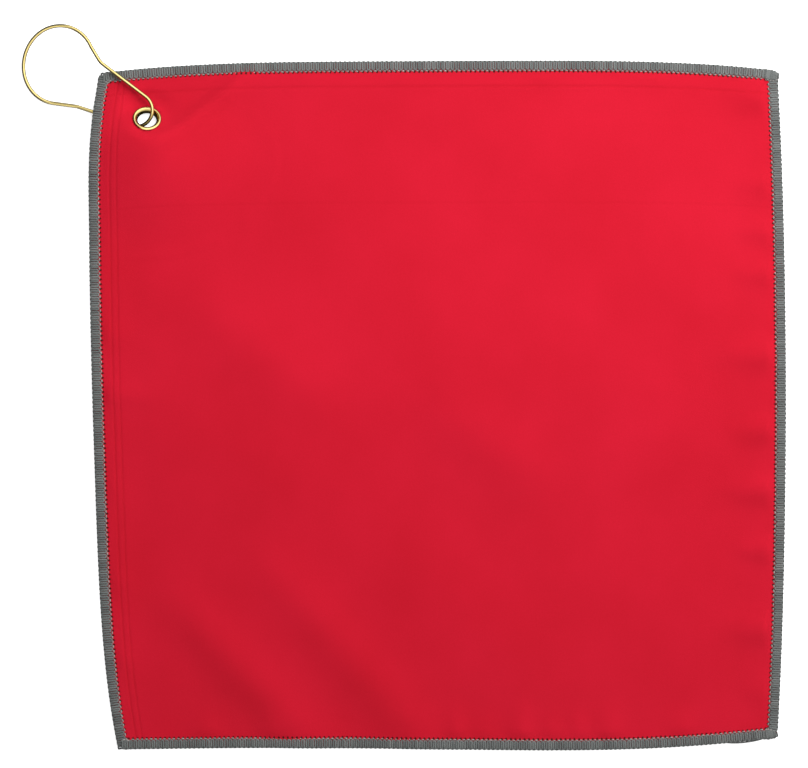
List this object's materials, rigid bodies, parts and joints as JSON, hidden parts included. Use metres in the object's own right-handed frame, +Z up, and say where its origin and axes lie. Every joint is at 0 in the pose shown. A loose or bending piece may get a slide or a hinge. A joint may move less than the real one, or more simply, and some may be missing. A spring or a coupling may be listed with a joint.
{
  "type": "golf towel",
  "caption": "Square microfibre golf towel with an overlocked edge, a brass eyelet in one corner and a sprung brass wire hook through it.",
  "frame": {"origin": "middle of the towel's underside, on the surface it lies on", "axes": "+Z up out of the towel's face, +X along its top edge away from the hooked corner, +Y towards its top edge"},
  "size_m": [0.4228, 0.4016, 0.0125],
  "materials": {
    "cloth": "soft matt microfibre with a faint sheen",
    "thread": "twisted polyester overlock thread",
    "brass": "bright plated, lightly worn"
  },
  "bodies": {
    "towel": {"towel_cloth": "cloth", "upper_looper_thread_top": "thread", "upper_looper_thread_bottom": "thread", "upper_looper_thread_left": "thread", "upper_looper_thread_right": "thread", "lower_looper_thread_top": "thread", "lower_looper_thread_bottom": "thread", "lower_looper_thread_left": "thread", "lower_looper_thread_right": "thread", "needle_thread_top": "thread", "needle_thread_bottom": "thread", "needle_thread_left": "thread", "needle_thread_right": "thread", "grommet_eyelet": "brass", "grommet_washer": "brass"},
    "hook_front": {"hook_wire_front": "brass"},
    "hook_back": {"hook_wire_back": "brass"}
  },
  "joints": [
    {"name": "hook_roll", "type": "hinge", "parent": "towel", "child": "hook_front", "pos_m": [-0.1606, 0.1578, 0.00585], "axis": [0.8472, -0.5294, 0.0449], "range_deg": [0, 110]},
    {"name": "hook_opening", "type": "hinge", "parent": "hook_front", "child": "hook_back", "pos_m": [-0.22652, 0.19899, 0.00236], "axis": [0.0932, 0.065, -0.9935], "range_deg": [0, 6], "stiffness_Nm_per_rad": 0.3}
  ]
}
